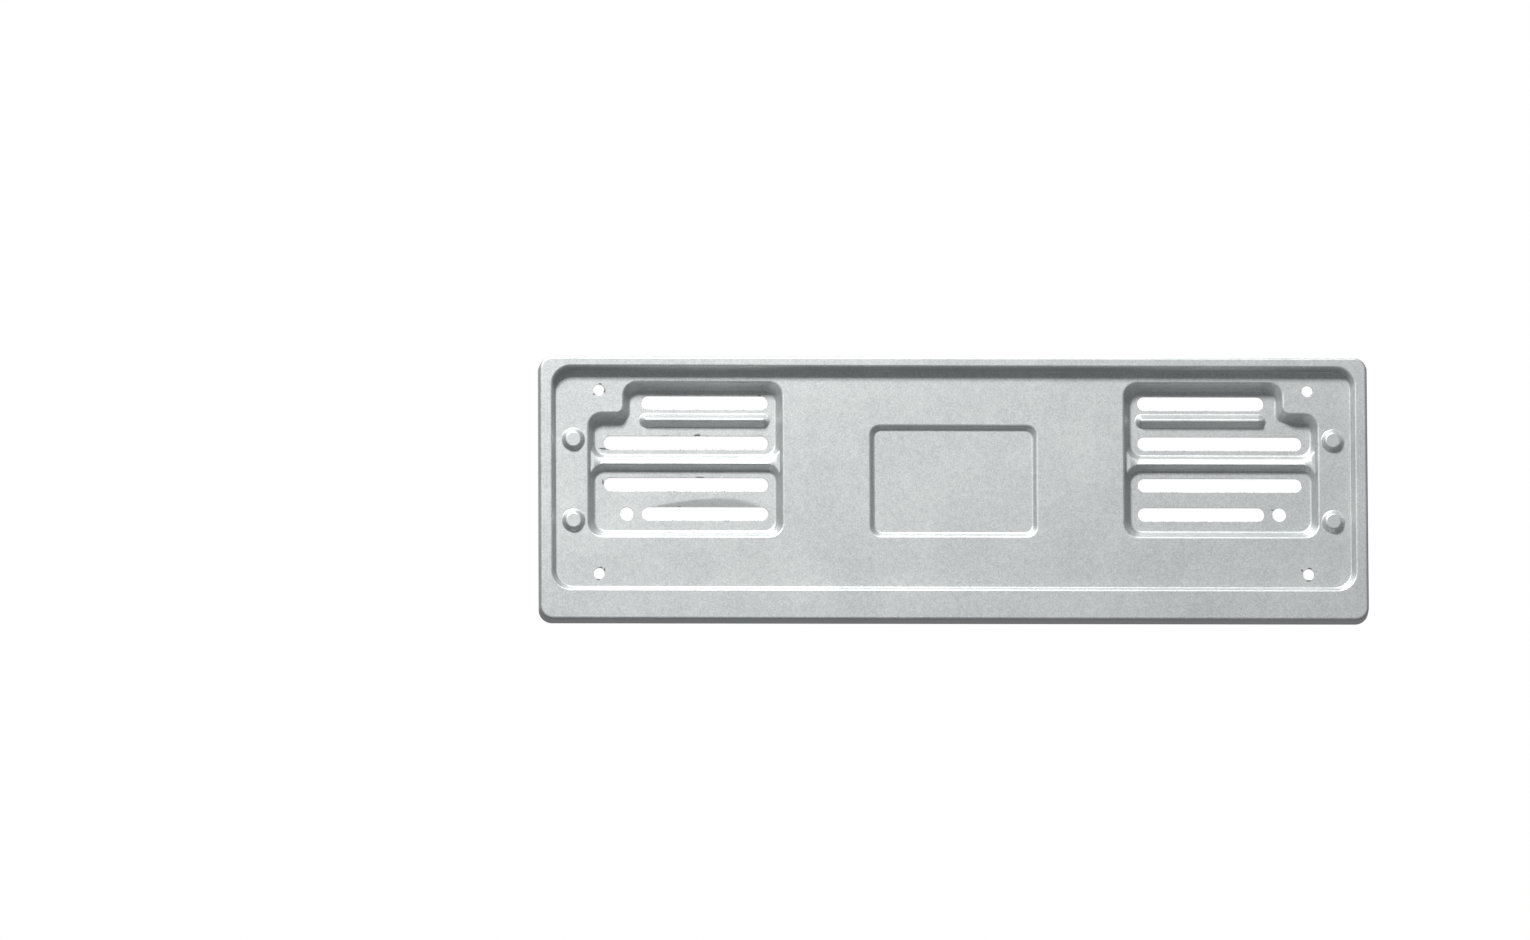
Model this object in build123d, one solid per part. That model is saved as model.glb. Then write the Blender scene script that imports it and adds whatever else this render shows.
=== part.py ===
from build123d import *
import os
from math import cos, radians, tan

# Number plate holder: one sheet pressed into a shallow tray with two pairs of
# mounting pockets. It is drawn lying on its back and stood up at the end.
# X runs along the plate, Y up the plate and Z from the vehicle to the viewer.
# The origin is the middle of the four long slots, on the vehicle's face.
# Outlines are the sharp corners that the bends then round off. A bend is round on
# its outer side in front, and sharp on its inner side.

# Sheet and levels
sheet = 0.8
tray_depth = 5.0
pocket_depth = 5.5

# Outer edge, measured over the rear edge of the skirt
width = 372.0
height = 120.0
corner_radius = 6.0
skirt_draft = 2.0
skirt_lift = 0.5
rim_bend = 1.3

# Tray: rims from the outer edge to the tray, and the tray's wall
rim_side = 6.1
rim_top = 5.0
rim_bottom = 14.2
tray_corner = 8.5
tray_draft = 15.0
tray_bend = 1.2

# Slots for the vehicle's screws, two long and two short on each side
slot_width = 6.2
slot_start = 82.9
long_slot_pitch = 18.9
short_slot_rise = 18.15
short_slot_drop = 13.25
slot_end_land = 7.0
short_end_land = 8.2
round_hole = 6.2
round_hole_land = 17.2

# Pockets around the slots, with a notch at the upper outer corner
side_land = 16.3
pocket_inner_land = 6.2
pocket_top_land = 5.4
pocket_bottom_land = 7.7
top_land = 6.5
notch_width = 15.7
notch_height = 14.0
notch_corner = 4.0
pocket_corner = 6.5
pocket_draft = 25.0
pocket_bend = 1.4

# Ridge that parts the upper pocket from the lower one
ridge_row = 0.6
ridge_width = 3.2
ridge_drop = 2.3
ridge_bevel = 0.7

# Raised rib between the two slots of each upper pocket
rib_row = 19.6
rib_length = 58.5
rib_width = 6.2
rib_height = 3.0
rib_draft = 40.0

# Corner holes for the plate's screws
screw_hole = 5.0
screw_inset_side = 20.9
screw_inset_top = 10.0
screw_inset_bottom = 7.6

# Embossed bosses between the pockets and the ends of the tray
boss_rows = (10.0, -26.7)
boss_diameter = 10.2
boss_height = 2.1
boss_draft = 40.0
boss_gap = 0.8

# Recess in the middle, level with the pockets' lower edge
recess_width = 74.7
recess_height = 50.2
recess_depth = 2.0
recess_corner = 5.5
recess_draft = 40.0
recess_bend = 1.5

# Extra length of the cutting and joining shapes past the faces they meet
overlap = 1.0

# Levels above the vehicle's face, and the lines that the features share
floor_level = sheet
panel_level = floor_level + pocket_depth
rim_level = panel_level + tray_depth
long_row = long_slot_pitch / 2
upper_row = long_row + short_slot_rise
lower_row = -long_row - short_slot_drop
pocket_top = upper_row + slot_width / 2 + pocket_top_land
pocket_bottom = lower_row - slot_width / 2 - pocket_bottom_land
tray_top = pocket_top + top_land
tray_bottom = tray_top + rim_top - height + rim_bottom
tray_half = width / 2 - rim_side
pocket_inner = slot_start - pocket_inner_land
pocket_outer = tray_half - side_land
notch_x = pocket_outer - notch_width
notch_y = pocket_top - notch_height
long_slot_end = pocket_outer - slot_end_land
short_slot_end = notch_x - short_end_land

# Plans of the pressed shapes, as joined rectangles: left, right, bottom, top
outer_plan = [(-width / 2, width / 2, tray_top + rim_top - height, tray_top + rim_top)]
tray_plan = [(-tray_half, tray_half, tray_bottom, tray_top)]
recess_plan = [(-recess_width / 2, recess_width / 2, pocket_bottom, pocket_bottom + recess_height)]
pocket_plan = [
    (pocket_inner, pocket_outer, pocket_bottom, notch_y),
    (pocket_inner, notch_x, pocket_bottom, pocket_top),
]


def bend_set(draft):
    """How far a bend moves along the flat, per millimetre of sheet."""
    return tan(radians(45 - draft / 2))


def both_sides(shapes):
    return shapes + [mirror(shape, about=Plane.YZ) for shape in shapes]


def drafted_block(plan, grow, rise, draft):
    """A block that narrows upward."""
    block = Part()
    for left, right, bottom, top in plan:
        size = (right - left + 2 * grow, top - bottom + 2 * grow)
        block += extrude(Pos((left + right) / 2, (bottom + top) / 2) * Rectangle(*size), rise, taper=draft)
    return block


def upright_edges(block):
    return block.edges().filter_by(lambda edge: abs(edge.tangent_at(0.5).Z) > 0.1)


def round_corners(block, radius, notch_radius=None):
    """Round the upright edges, those that point inward first."""
    inward = upright_edges(block).filter_by(lambda edge: edge.is_interior)
    if inward:
        block = fillet(inward, notch_radius)
    return fillet(upright_edges(block).filter_by(lambda edge: not edge.is_interior), radius)


def cut_ridge(block, foot, inset):
    """Leave room for the ridge in an upturned pocket block, whose floor is at the foot's height."""
    crest = ridge_width / 2 - inset * bend_set(pocket_draft)
    rise = pocket_depth - ridge_drop
    base = crest + (rise + overlap) * tan(radians(pocket_draft))
    section = Polyline((-crest, -rise), (crest, -rise), (base, overlap), (-base, overlap), close=True)
    length = pocket_outer - pocket_inner + 2 * pocket_depth
    bar = extrude(Plane.YZ * make_face(section), length / 2, both=True)
    return block - Pos((pocket_inner + pocket_outer) / 2, ridge_row, foot) * bar


def pocket_block(grow, rise, inset):
    """An upturned pocket, with its ridge bevelled in front."""
    block = cut_ridge(drafted_block(pocket_plan, grow, rise, pocket_draft), rise, inset)
    block = round_corners(block, pocket_corner + inset, notch_corner - inset)
    if inset:
        return block
    along = block.edges().filter_by(Axis.X)
    crest = along.filter_by_position(Axis.Z, overlap, rise, inclusive=(False, False))
    return chamfer(crest, ridge_bevel)


def tray_block(grow, rise, inset):
    return round_corners(drafted_block(tray_plan, grow, rise, tray_draft), tray_corner + inset)


def recess_block(grow, rise, inset):
    return round_corners(drafted_block(recess_plan, grow, rise, recess_draft), recess_corner + inset)


def sink(body, block, level, depth, draft, bend, inset, sides=list):
    """Press a block into the body. In front, its mouth gets a round bend."""
    grow = inset * bend_set(draft) + overlap * tan(radians(draft))
    punch = mirror(block(grow, depth + overlap, inset), about=Plane.XY)
    punches = sides([Pos(0, 0, level - inset + overlap) * punch])
    pressed = body - punches
    if inset:
        return pressed
    return fillet(new_edges(body, *punches, combined=pressed), bend)


def raised(outline, level, rise, draft, inset):
    """A raised shape that narrows upward, as the space below the front or the back face."""
    foot = overlap * tan(radians(draft)) - inset * bend_set(draft)
    top = foot - (rise + overlap) * tan(radians(draft))
    shape = loft([outline(foot), Pos(0, 0, rise + overlap) * outline(top)])
    return Pos(0, 0, level - inset - overlap) * shape


def rib_outline(grow):
    middle = ((slot_start + short_slot_end) / 2, rib_row)
    return Pos(*middle) * SlotOverall(rib_length + 2 * grow, rib_width + 2 * grow)


def boss_outline(row):
    pocket_edge = pocket_outer + pocket_bend * bend_set(pocket_draft)
    middle = (pocket_edge + boss_gap + boss_diameter / 2, row)
    return lambda grow: Pos(*middle) * Circle(boss_diameter / 2 + grow)


def form(inset):
    """The solid behind the sheet's front face, or behind its back face one sheet deeper."""
    base = -2 * overlap - inset
    flare = (skirt_lift - base) * tan(radians(skirt_draft)) - inset / cos(radians(skirt_draft))
    body = drafted_block(outer_plan, flare, rim_level - inset - base, skirt_draft)
    body = round_corners(body, corner_radius - inset)
    if not inset:
        body = fillet(body.edges().group_by(Axis.Z)[-1], rim_bend)
    body = Pos(0, 0, base) * body
    body = sink(body, tray_block, rim_level, tray_depth, tray_draft, tray_bend, inset)
    body = sink(body, recess_block, panel_level, recess_depth, recess_draft, recess_bend, inset)
    body = sink(body, pocket_block, panel_level, pocket_depth, pocket_draft, pocket_bend, inset, both_sides)
    ribs = [raised(rib_outline, floor_level, rib_height, rib_draft, inset)]
    bosses = [raised(boss_outline(row), panel_level, boss_height, boss_draft, inset) for row in boss_rows]
    return body + both_sides(ribs + bosses)


def slot(end, row):
    return Pos((slot_start + end) / 2, row) * SlotOverall(end - slot_start, slot_width)


def punched_holes():
    screw_x = tray_half - screw_inset_side
    holes = [slot(long_slot_end, row) for row in (long_row, -long_row)]
    holes += [slot(short_slot_end, row) for row in (upper_row, lower_row)]
    holes += [Pos(pocket_outer - round_hole_land, lower_row) * Circle(round_hole / 2)]
    screw_rows = (tray_top - screw_inset_top, tray_bottom + screw_inset_bottom)
    holes += [Pos(screw_x, row) * Circle(screw_hole / 2) for row in screw_rows]
    return both_sides([Pos(0, 0, -overlap) * extrude(hole, rim_level) for hole in holes])


def holder_pressing():
    shell = form(0) - form(sheet)
    waste = drafted_block(outer_plan, width, skirt_lift + 4 * overlap, 0)
    waste -= drafted_block(tray_plan, 0, skirt_lift + 4 * overlap, 0)
    pressed = shell - Pos(0, 0, -4 * overlap) * waste - punched_holes()
    return Rot(90, 0, 0) * pressed


holder = holder_pressing()
os.makedirs("parts", exist_ok=True)
export_step(holder, "parts/holder_pressing.step")
size = holder.bounding_box().size
print("holder_pressing", [round(value, 2) for value in size], "mm, volume", round(holder.volume))
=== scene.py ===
from math import cos, radians, sin, tan

import bmesh
import bpy
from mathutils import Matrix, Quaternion, Vector


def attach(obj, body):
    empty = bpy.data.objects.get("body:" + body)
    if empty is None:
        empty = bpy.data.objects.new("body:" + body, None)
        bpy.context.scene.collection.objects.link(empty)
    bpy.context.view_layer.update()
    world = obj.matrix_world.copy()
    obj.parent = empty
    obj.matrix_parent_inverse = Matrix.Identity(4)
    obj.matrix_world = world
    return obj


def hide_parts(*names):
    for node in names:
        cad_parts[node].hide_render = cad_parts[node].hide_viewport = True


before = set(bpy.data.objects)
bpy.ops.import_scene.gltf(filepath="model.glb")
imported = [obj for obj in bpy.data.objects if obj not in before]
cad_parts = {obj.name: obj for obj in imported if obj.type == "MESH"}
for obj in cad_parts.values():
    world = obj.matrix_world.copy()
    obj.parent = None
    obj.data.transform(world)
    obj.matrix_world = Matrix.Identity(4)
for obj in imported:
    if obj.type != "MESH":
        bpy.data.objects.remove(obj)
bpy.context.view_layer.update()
mm = 0.001
scene = bpy.context.scene
print("frame loaded:", sorted(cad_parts))


def hexColor(code):  # sRGB hex to linear RGBA
    parts = [int(code[i:i + 2], 16) / 255 for i in (1, 3, 5)]
    return [c / 12.92 if c <= 0.04045 else ((c + 0.055) / 1.055) ** 2.4 for c in parts] + [1.0]


def addNode(tree, kind, links=None, **settings):  # one node with its settings, values and links
    node = tree.nodes.new(kind)
    for name, value in settings.items():
        setattr(node, name, value)
    for socket, value in (links or {}).items():
        if isinstance(value, bpy.types.NodeSocket):
            tree.links.new(value, node.inputs[socket])
        else:
            node.inputs[socket].default_value = value
    return node


def newMaterial(name):
    material = bpy.data.materials.new(name)
    material.use_nodes = True
    material.node_tree.nodes.clear()
    return material, material.node_tree


# Silver metallic car paint, sprayed over pressed steel and lacquered: a satin grey with fine
# grain and flake sparkle, faint clouding from the spray passes, a slight orange peel and
# crisp light along the bends. Along the slots and holes it is chipped down to the dark primer,
# and at the corner holes the same dark colour is also painted shade along their upper edges.
silverPaint = {
    "color": "#D2D5D4",
    "shade": "#B5B8B8",
    # dark primer of the chips, also used as painted shade at the corner holes' upper edges
    "primerAndShade": "#5C5E61",
    "grain": 0.5,           # mm, drawn coarser than real flakes so that it shows
    "mottle": 2.6,          # mm
    "cloud": 38.0,          # mm
    "flake": 0.22,          # mm
    "peel": 1.6,            # mm
    "noiseRoughness": 0.6,
    "mottleShare": 0.25,    # beside 1 of the grain
    "cloudShare": 0.35,
    "toneRange": (0.6, 1.0),        # of their sum, from shade to color
    "peelStrength": 0.25,
    "peelHeight": 0.03,     # mm
    "metallic": 0.9,
    "roughness": 0.58,
    "roughnessSpread": 0.06,        # from flake to flake, up and down
    "coat": 0.5,
    "coatRoughness": 0.2,
    "chipShadeDepth": 0.55,      # mm, how far each mark, chipped paint and painted shade alike, goes down into the slot
    "chipShadeNoise": 0.5,       # mm
    "chipShadeRagged": 1.1,
    "chipShadeEdge": (1.3, 1.6),         # where the paint begins and where it is whole
    "chipsAndShade": {              # chipped paint and painted shade, by front face: middle across and up, half length and half height, in mm
        -0.8: [             # the pockets' floors, along the slots
            (-114.6, 12.9, 1.6, 0.6), (-128.9, 12.6, 1.9, 0.22), (-109.9, 12.6, 0.7, 0.2),
            (-154.6, 6.5, 3.4, 0.25), (-157.2, 6.9, 1.9, 0.3), (-86.5, 31.0, 0.7, 0.35),
            (-113.4, -6.1, 2.2, 0.32), (-157.0, -8.4, 0.35, 1.4), (-122.7, -19.4, 1.2, 0.25),
            (-102.2, -25.9, 1.0, 0.22), (143.6, -20.6, 1.1, 0.3),
        ],
        -6.3: [             # the panel, around the corner holes: chipped paint, and painted shade along the holes' upper edges
            (-160.9, 30.6, 0.9, 0.45), (-156.3, 32.2, 0.35, 0.9), (-158.3, 35.3, 0.9, 0.35),
            (-158.2, -47.9, 1.0, 0.3), (-156.6, -48.9, 0.35, 0.8), (-159.3, -53.4, 0.9, 0.3),
            (156.1, -48.7, 0.5, 0.6), (159.6, -47.9, 1.3, 0.3), (159.0, -53.4, 1.1, 0.45),
        ],
    },
}


def makeChipsAndShade(tree, place, look):  # 1 where the paint is chipped off and where shade is painted at the corner holes' edges, with ragged edges
    ragged = addNode(tree, "ShaderNodeTexNoise", {
        "Vector": place, "Scale": 1 / (look["chipShadeNoise"] * mm), "Detail": 2.0})
    begins, whole = look["chipShadeEdge"]
    mask = None
    places = [(face, chipShadeMark) for face, chipsAndShade in look["chipsAndShade"].items() for chipShadeMark in chipsAndShade]
    for face, (across, up, halfLength, halfHeight) in places:
        middle = [value * mm for value in (across, face, up)]
        sizes = [1 / (value * mm) for value in (halfLength, look["chipShadeDepth"], halfHeight)]
        offset = addNode(tree, "ShaderNodeVectorMath", {0: place, 1: middle}, operation="SUBTRACT")
        shape = addNode(tree, "ShaderNodeVectorMath", {0: offset.outputs[0], 1: sizes}, operation="MULTIPLY")
        reach = addNode(tree, "ShaderNodeVectorMath", {0: shape.outputs[0]}, operation="LENGTH")
        edge = addNode(tree, "ShaderNodeMath", {
            0: ragged.outputs["Fac"], 1: look["chipShadeRagged"], 2: reach.outputs["Value"]},
            operation="MULTIPLY_ADD")
        chipShadeMark = addNode(tree, "ShaderNodeMapRange", {
            "Value": edge.outputs[0], "From Min": begins, "From Max": whole, "To Min": 1.0, "To Max": 0.0})
        mask = chipShadeMark.outputs[0] if mask is None else addNode(
            tree, "ShaderNodeMath", {0: mask, 1: chipShadeMark.outputs[0]}, operation="MAXIMUM").outputs[0]
    return mask


def makeSilverPaint(look):
    material, tree = newMaterial("silverMetallicPaintSprayed")
    place = addNode(tree, "ShaderNodeTexCoord").outputs["Object"]
    noises = {}
    for name, detail in (("grain", 2.0), ("mottle", 2.0), ("cloud", 3.0), ("peel", 1.0)):
        noises[name] = addNode(tree, "ShaderNodeTexNoise", {
            "Vector": place, "Scale": 1 / (look[name] * mm), "Detail": detail,
            "Roughness": look["noiseRoughness"]}).outputs["Fac"]
    flake = addNode(tree, "ShaderNodeTexVoronoi", {"Vector": place, "Scale": 1 / (look["flake"] * mm)})
    sparkle = addNode(tree, "ShaderNodeSeparateColor", {"Color": flake.outputs["Color"]})
    fine = addNode(tree, "ShaderNodeMath", {
        0: noises["mottle"], 1: look["mottleShare"], 2: noises["grain"]}, operation="MULTIPLY_ADD")
    broad = addNode(tree, "ShaderNodeMath", {
        0: noises["cloud"], 1: look["cloudShare"], 2: fine.outputs[0]}, operation="MULTIPLY_ADD")
    darkest, lightest = look["toneRange"]
    tone = addNode(tree, "ShaderNodeMapRange", {
        "Value": broad.outputs[0], "From Min": darkest, "From Max": lightest, "To Min": 0.0, "To Max": 1.0})
    silver = addNode(tree, "ShaderNodeMix", {0: tone.outputs[0], 6: hexColor(look["shade"]),
                                             7: hexColor(look["color"])}, data_type="RGBA")
    # dark primer colour: chipped paint, and painted shade at the corner holes' upper edges
    chipsAndShade = makeChipsAndShade(tree, place, look)
    color = addNode(tree, "ShaderNodeMix", {0: chipsAndShade, 6: silver.outputs[2], 7: hexColor(look["primerAndShade"])},
                    data_type="RGBA")
    metal = addNode(tree, "ShaderNodeMapRange", {"Value": chipsAndShade, "To Min": look["metallic"], "To Max": 0.0})
    rough = addNode(tree, "ShaderNodeMapRange", {
        "Value": sparkle.outputs["Green"], "To Min": look["roughness"] - look["roughnessSpread"],
        "To Max": look["roughness"] + look["roughnessSpread"]})
    bump = addNode(tree, "ShaderNodeBump", {
        "Height": noises["peel"], "Strength": look["peelStrength"], "Distance": look["peelHeight"] * mm})
    shader = addNode(tree, "ShaderNodeBsdfPrincipled", {
        "Base Color": color.outputs[2], "Roughness": rough.outputs[0], "Normal": bump.outputs["Normal"],
        "Metallic": metal.outputs[0], "Coat Weight": look["coat"], "Coat Roughness": look["coatRoughness"]})
    addNode(tree, "ShaderNodeOutputMaterial", {"Surface": shader.outputs[0]})
    return material


paint = makeSilverPaint(silverPaint)
print("paint mixed")

# The pressing: a copy of the CAD sheet with its sharp bends pressed round
bends = {
    "trayFoot": 0.7,        # mm, inside radii in front, where a wall meets a flat
    "pocketFoot": 1.3,
    "ribFoot": 0.8,
    "crest": 1.1,           # tops of the ribs and bosses
    "backFoot": 2.2,        # the same bends from behind, one sheet larger
    "backMouth": 0.42,
    "skirtInside": 1.2,
    "cutEdge": 0.12,        # punched slots and holes, and the skirt's trimmed edge
    "panelLevel": -6.0,     # the tray's feet lie in front of this
    "ribBox": ((80, -4.5, 15.0), (143, 0.1, 24.0)),         # mm, on both sides
    "ridgeBox": ((68, -5.3, -8.6), (168, -2.9, 9.8)),       # the ridge's top keeps its own bevel
    "crestBox": ((68, -4.1, -0.4), (168, -3.3, 9.8)),       # its front face leans up between two rows
    "crestRows": (-0.3, 1.5),
    "crestLean": 0.5,
    "crestMiddle": 120.15,
    "crestHalf": 42.1,
    "crestFade": 5.9,       # it is level again at its ends
    "widest": 2.0,
    "segments": 4,
    "sharpFrom": 25.0,      # degrees, shallower edges stay as they are
    "mergeWithin": 0.002,   # mm
    "joinWithin": 0.5,      # degrees, facets of one flat wall
}
flatFrom = 0.98             # share of Y in the normal of a flat
wallUpTo = 0.08             # and of a wall that stands square to it


def within(point, box):  # a box of the right side, in mm, and its mirror image on the left
    place = (abs(point.x) / mm, point.y / mm, point.z / mm)
    return all(low < value < high for low, value, high in zip(box[0], place, box[1]))


def isCut(edge):  # a sheared edge, where a flat meets the wall of a cut
    sides = sorted(abs(face.normal.y) for face in edge.link_faces)
    return sides[1] > flatFrom and sides[0] < wallUpTo and edge.calc_face_angle_signed() > 0


def bendOffset(edge, sizes):  # how far the round starts from the sharp edge, in mm
    middle = (edge.verts[0].co + edge.verts[1].co) / 2
    angle = edge.calc_face_angle_signed()
    front = sum(face.normal.y for face in edge.link_faces) < 0
    if isCut(edge):
        return sizes["cutEdge"]
    if within(middle, sizes["ridgeBox"]):
        return 0.0
    if front and angle > 0:
        radius = sizes["crest"]
    elif front and middle.y < sizes["panelLevel"] * mm:
        radius = sizes["trayFoot"]
    elif front:
        radius = sizes["ribFoot"] if within(middle, sizes["ribBox"]) else sizes["pocketFoot"]
    elif angle > 0:
        radius = sizes["backFoot"]
    else:
        steep = min(abs(face.normal.y) for face in edge.link_faces)
        radius = sizes["skirtInside"] if steep < wallUpTo else sizes["backMouth"]
    return radius * tan(abs(angle) / 2)


def sharpPressing(node, sizes):  # merged copy of the node, with each flat wall as one face
    bm = bmesh.new()
    bm.from_mesh(node.data)
    bmesh.ops.remove_doubles(bm, verts=bm.verts, dist=sizes["mergeWithin"] * mm)
    walls = [e for e in bm.edges if all(abs(f.normal.y) < flatFrom for f in e.link_faces)]
    bmesh.ops.dissolve_limit(bm, angle_limit=radians(sizes["joinWithin"]), verts=[], edges=walls)
    return bm


def leanCrest(bm, sizes):  # the ridge is highest along its lower side
    start, stop = sizes["crestRows"]
    for vert in bm.verts:
        if within(vert.co, sizes["crestBox"]):
            share = (vert.co.z / mm - start) / (stop - start)
            toEnd = sizes["crestHalf"] - abs(abs(vert.co.x) / mm - sizes["crestMiddle"])
            share = max(0.0, min(share, 1.0)) * max(0.0, min(toEnd / sizes["crestFade"], 1.0))
            vert.co.y += sizes["crestLean"] * mm * share
    bm.normal_update()


def roundedPressing(bm, sizes):
    weights = bm.edges.layers.float.new("bevel_weight_edge")
    for edge in bm.edges:
        if len(edge.link_faces) == 2 and edge.calc_face_angle() > radians(sizes["sharpFrom"]):
            edge[weights] = min(1.0, bendOffset(edge, sizes) / sizes["widest"])
    mesh = bpy.data.meshes.new("holderPressingSharp")
    bm.to_mesh(mesh)
    sharp = bpy.data.objects.new("holderPressingSharp", mesh)
    scene.collection.objects.link(sharp)
    rounding = sharp.modifiers.new("bends", "BEVEL")
    rounding.limit_method = "WEIGHT"
    rounding.offset_type = "OFFSET"
    rounding.width = sizes["widest"] * mm
    rounding.segments = sizes["segments"]
    rounding.use_clamp_overlap = False
    rounding.loop_slide = False
    return plainMesh(sharp, "holderPressing")


def plainMesh(made, name):  # the evaluated result as a mesh of its own
    graph = bpy.context.evaluated_depsgraph_get()
    mesh = bpy.data.meshes.new_from_object(made.evaluated_get(graph))
    mesh.name = name
    bpy.data.objects.remove(made)
    return mesh


def unfoldFlats(mesh):  # thin triangles of a flat that a bend's foot has turned over are laid anew
    passes, opposite = 4, -0.99     # some lie in a row
    bm = bmesh.new()
    bm.from_mesh(mesh)
    for _ in range(passes):
        for thin in [f for f in bm.faces if len(f.verts) == 3 and abs(f.normal.y) > -opposite]:
            if not thin.is_valid:
                continue
            edge = max(thin.edges, key=lambda e: e.calc_length())
            for wide in [f for f in edge.link_faces if f != thin and len(f.verts) == 3]:
                if thin.normal.dot(wide.normal) < opposite and thin.calc_area() < wide.calc_area():
                    tip = next(v for v in thin.verts if v not in edge.verts)
                    loop = next(part for part in wide.loops if part.edge == edge)
                    first, second, far = loop.vert, loop.link_loop_next.vert, loop.link_loop_prev.vert
                    bmesh.ops.delete(bm, geom=[edge], context="EDGES")
                    for corners in ((first, tip, far), (tip, second, far)):
                        bm.faces.new(corners).normal_update()
                    break
    bm.to_mesh(mesh)
    bm.free()


# A crushed edge above the left pocket's lowest slot: a shallow dish, deepest at the slot
dish = {
    "left": -136.0,         # mm
    "right": -85.6,
    "deepest": -102.0,
    "slotEdge": -19.6,
    "height": 4.2,
    "depth": 0.62,
    "fall": 1.2,            # how fast it rises away from the slot
    "floor": -0.8,
    "stepAcross": 2.0,
    "stepUp": 0.41,
    "firstRow": 0.2,
    "cutWithin": 0.01,
    "margin": 0.05,
}


def pressDish(mesh, sizes):
    bm = bmesh.new()
    bm.from_mesh(mesh)
    top = sizes["slotEdge"] + sizes["height"]
    across = steps(sizes["left"], sizes["right"], sizes["stepAcross"])
    upward = steps(sizes["slotEdge"] + sizes["firstRow"], top, sizes["stepUp"])
    cuts = [((value, 0, 0), (1, 0, 0)) for value in across]
    cuts += [((0, 0, value), (0, 0, 1)) for value in upward]
    faces = [f for f in bm.faces if overDish(f, sizes)]
    for point, facing in cuts:
        edges = {e for f in faces for e in f.edges}
        verts = {v for f in faces for v in f.verts}
        split = bmesh.ops.bisect_plane(bm, geom=faces + list(edges) + list(verts),
                                       dist=sizes["cutWithin"] * mm,
                                       plane_co=Vector(point) * mm, plane_no=facing)
        faces = [f for f in split["geom"] if isinstance(f, bmesh.types.BMFace) and overDish(f, sizes)]
    for vert in bm.verts:
        x, y, z = vert.co / mm
        if sizes["floor"] - sizes["margin"] < y < 0 and sizes["left"] < x < sizes["right"] and \
                sizes["slotEdge"] - sizes["margin"] < z < top:
            side = sizes["left"] if x < sizes["deepest"] else sizes["right"]
            reach = 1 - ((x - sizes["deepest"]) / (side - sizes["deepest"])) ** 2
            share = max(0.0, 1 - (z - sizes["slotEdge"]) / (sizes["height"] * max(reach, 0.01)))
            vert.co.y *= 1 + sizes["depth"] * reach * min(share, 1.0) ** sizes["fall"] / sizes["floor"]
    bm.to_mesh(mesh)
    bm.free()


def steps(start, stop, step):
    return [start + i * step for i in range(int((stop - start) / step) + 1)]


def overDish(face, sizes):  # front floor, slot edge and slot wall within the dish's outline
    low = [min(v.co[i] for v in face.verts) / mm for i in range(3)]
    high = [max(v.co[i] for v in face.verts) / mm for i in range(3)]
    hair = 0.001            # mm
    return (low[1] > sizes["floor"] - sizes["margin"] and high[1] < hair and low[1] < -hair and
            high[0] > sizes["left"] and low[0] < sizes["right"] and
            high[2] > sizes["slotEdge"] - sizes["margin"] and low[2] < sizes["slotEdge"] + sizes["height"])


# Shading: flats stay flat, and bends shade evenly from one to the next
shading = {
    "levelFrom": 0.9995,    # share of Y in the normal of a flat
    "smoothWithin": 40.0,   # degrees
}


def settleNormals(mesh, sizes):
    normals = [face.normal.copy() for face in mesh.polygons]
    areas = [face.area for face in mesh.polygons]
    flat = [abs(normal.y) > sizes["levelFrom"] for normal in normals]
    smooth = cos(radians(sizes["smoothWithin"]))
    around = [[] for _ in mesh.vertices]
    for face in mesh.polygons:
        face.use_smooth = True
        for vert in face.vertices:
            around[vert].append(face.index)
    corners = []
    for face in mesh.polygons:
        for vert in face.vertices:
            near = [i for i in around[vert] if normals[i].dot(normals[face.index]) > smooth]
            if flat[face.index]:
                near = [face.index]
            elif any(flat[i] for i in near):
                near = [i for i in near if flat[i]]
            corners.append(sum((normals[i] * areas[i] for i in near), Vector()).normalized())
    mesh.normals_split_custom_set(corners)


def addPiece(mesh, material):
    mesh.materials.clear()
    mesh.materials.append(material)
    piece = bpy.data.objects.new(mesh.name, mesh)
    scene.collection.objects.link(piece)
    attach(piece, "root")
    return piece


sharp = sharpPressing(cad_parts["holder_pressing"], bends)
cutPaths = [[v.co.copy() for v in e.verts] for e in sharp.edges
            if len(e.link_faces) == 2 and isCut(e) and sum(f.normal.y for f in e.link_faces) < 0]
leanCrest(sharp, bends)
pressingMesh = roundedPressing(sharp, bends)
sharp.free()
unfoldFlats(pressingMesh)
pressDish(pressingMesh, dish)
settleNormals(pressingMesh, shading)
pressing = addPiece(pressingMesh, paint)
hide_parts("holder_pressing")
print("pressing rounded:", len(pressing.data.polygons), "faces")

# Burrs: small lumps of paint that the spray left along the punched edges in front
burrs = {
    "spacing": 0.9,         # mm
    "share": 0.3,           # of the places along the edge that hold one
    "smallest": 0.1,        # radius, mm
    "largest": 0.26,
    "detail": 2,
    "seed": 7,
}


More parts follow.
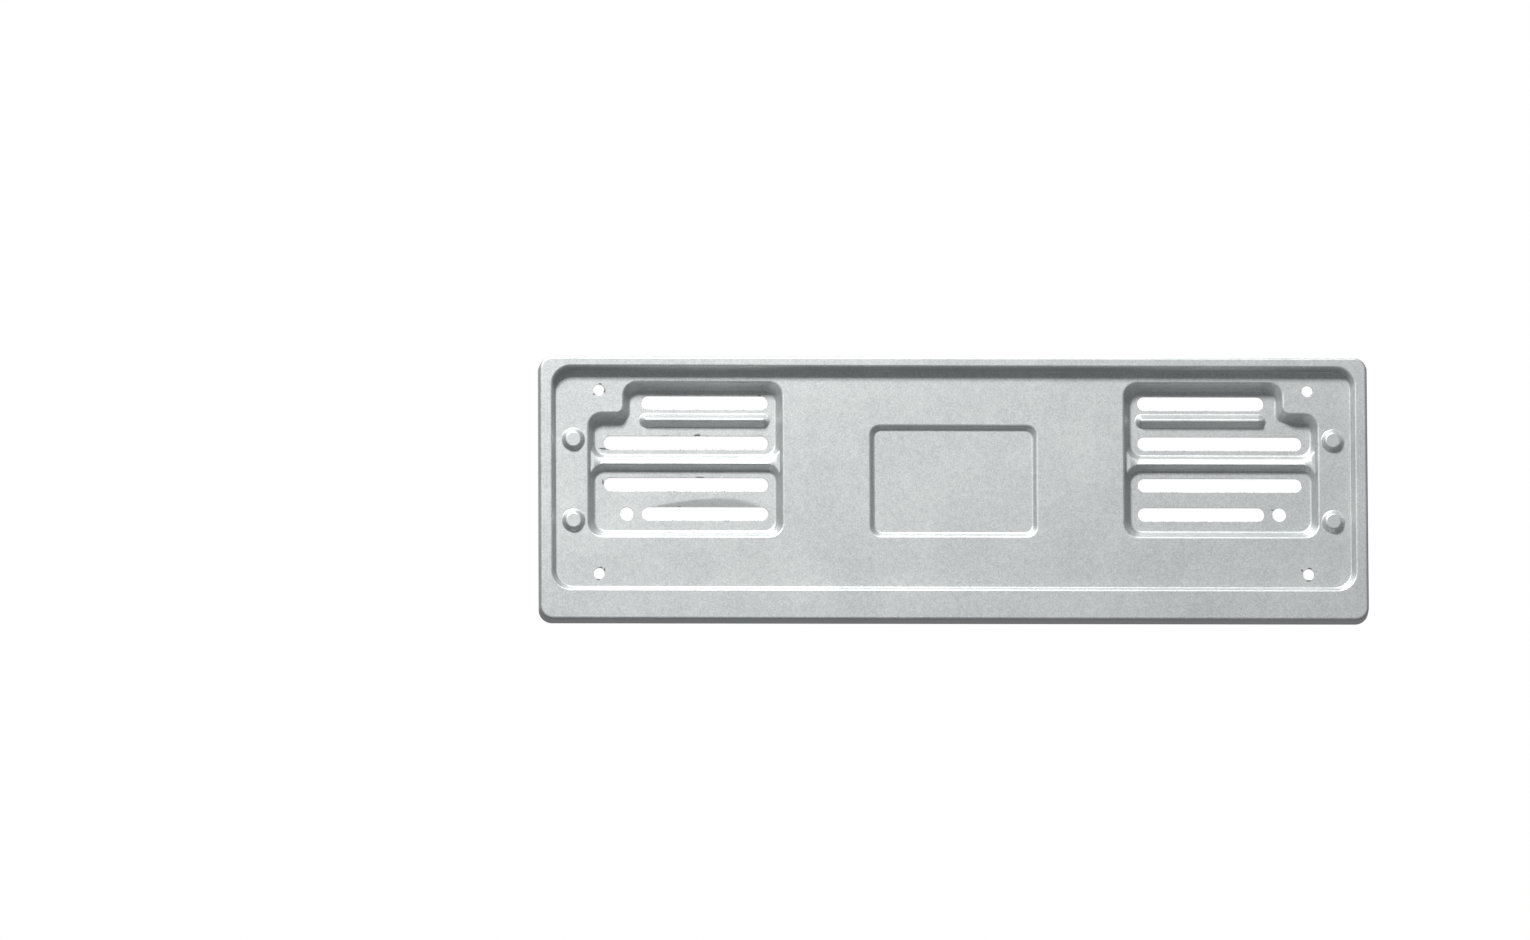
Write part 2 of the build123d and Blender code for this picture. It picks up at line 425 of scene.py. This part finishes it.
def burrTree(material, detail):
    tree = bpy.data.node_groups.new("edgeBurrs", "GeometryNodeTree")
    tree.interface.new_socket("Geometry", in_out="INPUT", socket_type="NodeSocketGeometry")
    for name in ("Spacing", "Share", "Smallest", "Largest"):
        tree.interface.new_socket(name, in_out="INPUT", socket_type="NodeSocketFloat")
    tree.interface.new_socket("Seed", in_out="INPUT", socket_type="NodeSocketInt")
    tree.interface.new_socket("Geometry", in_out="OUTPUT", socket_type="NodeSocketGeometry")
    given = addNode(tree, "NodeGroupInput").outputs
    path = addNode(tree, "GeometryNodeMeshToCurve", {"Mesh": given["Geometry"]})
    points = addNode(tree, "GeometryNodeCurveToPoints", {
        "Curve": path.outputs[0], "Length": given["Spacing"]}, mode="LENGTH")
    held = addNode(tree, "FunctionNodeRandomValue", {
        "Probability": given["Share"], "Seed": given["Seed"]}, data_type="BOOLEAN")
    lump = addNode(tree, "GeometryNodeMeshIcoSphere", {"Radius": 1.0, "Subdivisions": detail})
    size = addNode(tree, "FunctionNodeRandomValue", {
        2: given["Smallest"], 3: given["Largest"], "Seed": given["Seed"]}, data_type="FLOAT")
    lumps = addNode(tree, "GeometryNodeInstanceOnPoints", {
        "Points": points.outputs["Points"], "Selection": held.outputs[3], "Instance": lump.outputs["Mesh"],
        "Scale": size.outputs[1]})
    real = addNode(tree, "GeometryNodeRealizeInstances", {"Geometry": lumps.outputs[0]})
    smooth = addNode(tree, "GeometryNodeSetShadeSmooth", {"Geometry": real.outputs[0]})
    coated = addNode(tree, "GeometryNodeSetMaterial", {"Geometry": smooth.outputs[0], "Material": material})
    addNode(tree, "NodeGroupOutput", {"Geometry": coated.outputs[0]})
    return tree


def makeBurrs(paths, look, material):
    mesh = bpy.data.meshes.new("punchedEdges")
    points = [point for path in paths for point in path]
    mesh.from_pydata(points, [(2 * i, 2 * i + 1) for i in range(len(paths))], [])
    bm = bmesh.new()
    bm.from_mesh(mesh)
    bmesh.ops.remove_doubles(bm, verts=bm.verts, dist=bends["mergeWithin"] * mm)
    bm.to_mesh(mesh)
    bm.free()
    edges = bpy.data.objects.new("punchedEdges", mesh)
    scene.collection.objects.link(edges)
    tree = burrTree(material, look["detail"])
    strewn = edges.modifiers.new("burrs", "NODES")
    strewn.node_group = tree
    values = {"Spacing": look["spacing"] * mm, "Share": look["share"], "Smallest": look["smallest"] * mm,
              "Largest": look["largest"] * mm, "Seed": look["seed"]}
    for socket in tree.interface.items_tree:
        if socket.in_out == "INPUT" and socket.name in values:
            strewn[socket.identifier] = values[socket.name]
    return plainMesh(edges, "paintBurrs")


burrPiece = addPiece(makeBurrs(cutPaths, burrs, paint), paint)
print("burrs strewn:", len(burrPiece.data.polygons), "faces")

# Camera: a long lens 9 m away, a little below and left of the plate's axis
cameraSet = {
    "target": (0.0, -6.0, -12.4),   # mm
    "aim": (-84.53, -6.0, -3.58),
    "distance": 9000.0,
    "azimuth": -3.0,                # degrees
    "elevation": -9.0,
    "roll": -0.27,
    "lens": 472.66,
    "sensor": 36.0,
    "clipEnd": 60.0,                # m
}


def makeCamera(sizes):
    a, e = radians(sizes["azimuth"]), radians(sizes["elevation"])
    back = Vector((sin(a) * cos(e), -cos(a) * cos(e), sin(e)))
    data = bpy.data.cameras.new("camera")
    data.lens = sizes["lens"]
    data.sensor_width = sizes["sensor"]
    data.clip_end = sizes["clipEnd"]
    camera = bpy.data.objects.new("camera", data)
    camera.location = (Vector(sizes["target"]) + back * sizes["distance"]) * mm
    look = Vector(sizes["aim"]) * mm - camera.location
    level = look.to_track_quat("-Z", "Y")
    camera.rotation_euler = (level @ Quaternion((0, 0, 1), radians(sizes["roll"]))).to_euler()
    scene.collection.objects.link(camera)
    scene.camera = camera


makeCamera(cameraSet)
print("camera set")

# Studio: white all round, a pale floor, a dim room that only light and reflections meet,
# one small soft lamp at the upper left in front, 1.3 m away, and a weak one behind
studio = {
    "white": "#FFFFFF",
    "paper": "#F4F4F2",
    "wall": "#FCFEFF",
    "floorDrop": 1.7,       # m
    "floorHalf": 14.0,
    "roomRadius": 1.6,
    "roomSill": 0.45,       # of the radius: above it the room is open behind the plate
    "roomLevel": 0.26,      # how bright the dim room is, 1 is white
    "lamps": {
        "keySoftbox": {"at": (-0.4, -0.84, 0.97), "size": 0.28, "power": 28.8},
        "rearSoftbox": {"at": (0.15, 0.42, 0.25), "size": 0.30, "power": 2.4},
    },
}


def seenDirectly(tree):  # 1 for what the camera, a reflection or glass looks at
    path = addNode(tree, "ShaderNodeLightPath").outputs
    seen = addNode(tree, "ShaderNodeMath", {0: path["Is Camera Ray"], 1: path["Is Glossy Ray"]},
                   operation="MAXIMUM")
    return addNode(tree, "ShaderNodeMath", {0: seen.outputs[0], 1: path["Is Transmission Ray"]},
                   operation="MAXIMUM").outputs[0]


def makePaper(sizes):  # matt studio paper: pale and even, it takes a soft shadow and shows no shine
    material, tree = newMaterial("studioPaperMatt")
    matt = addNode(tree, "ShaderNodeBsdfDiffuse", {"Color": hexColor(sizes["paper"])})
    white = addNode(tree, "ShaderNodeEmission", {"Color": hexColor(sizes["white"]), "Strength": 1.0})
    both = addNode(tree, "ShaderNodeMixShader", {0: seenDirectly(tree), 1: matt.outputs[0],
                                                 2: white.outputs[0]})
    addNode(tree, "ShaderNodeOutputMaterial", {"Surface": both.outputs[0]})
    return material


def makeRoomWall(sizes):  # dull wall of the room all round, a faint even light on the paint
    material, tree = newMaterial("roomWallDull")
    glow = addNode(tree, "ShaderNodeEmission", {
        "Color": hexColor(sizes["wall"]), "Strength": sizes["roomLevel"]})
    addNode(tree, "ShaderNodeOutputMaterial", {"Surface": glow.outputs[0]})
    return material


def makeStudio(sizes):
    half, drop = sizes["floorHalf"], -sizes["floorDrop"]
    floorMesh = bpy.data.meshes.new("studioFloor")
    floorMesh.from_pydata([(-half, -half, drop), (half, -half, drop), (half, half, drop),
                           (-half, half, drop)], [], [(0, 1, 2, 3)])
    floorMesh.materials.append(makePaper(sizes))
    floor = bpy.data.objects.new("studioFloor", floorMesh)
    scene.collection.objects.link(floor)

    bm = bmesh.new()
    bmesh.ops.create_uvsphere(bm, u_segments=32, v_segments=16, radius=sizes["roomRadius"])
    sill = sizes["roomSill"] * sizes["roomRadius"]
    gap = [f for f in bm.faces if f.calc_center_median().y > 0 and f.calc_center_median().z > sill]
    bmesh.ops.delete(bm, geom=gap, context="FACES")
    roomMesh = bpy.data.meshes.new("dimRoom")
    bm.to_mesh(roomMesh)
    bm.free()
    roomMesh.materials.append(makeRoomWall(sizes))
    room = bpy.data.objects.new("dimRoom", roomMesh)
    room.visible_camera = False
    room.visible_shadow = False
    scene.collection.objects.link(room)

    for name, spec in sizes["lamps"].items():
        lamp = bpy.data.lights.new(name, "AREA")
        lamp.shape = "SQUARE"
        lamp.size = spec["size"]
        lamp.energy = spec["power"]
        softbox = bpy.data.objects.new(name, lamp)
        softbox.location = spec["at"]
        softbox.rotation_euler = (-softbox.location).to_track_quat("-Z", "Y").to_euler()
        softbox.visible_camera = False
        scene.collection.objects.link(softbox)

    world = bpy.data.worlds.new("studioWhite")
    world.use_nodes = True
    tree = world.node_tree
    tree.nodes.clear()
    white = hexColor(sizes["white"])
    dim = addNode(tree, "ShaderNodeBackground", {"Color": white, "Strength": sizes["roomLevel"]})
    bright = addNode(tree, "ShaderNodeBackground", {"Color": white, "Strength": 1.0})
    both = addNode(tree, "ShaderNodeMixShader", {0: seenDirectly(tree), 1: dim.outputs[0],
                                                 2: bright.outputs[0]})
    addNode(tree, "ShaderNodeOutputWorld", {"Surface": both.outputs[0]})
    scene.world = world
    scene.view_settings.view_transform = "Standard"


makeStudio(studio)
print("studio lit")
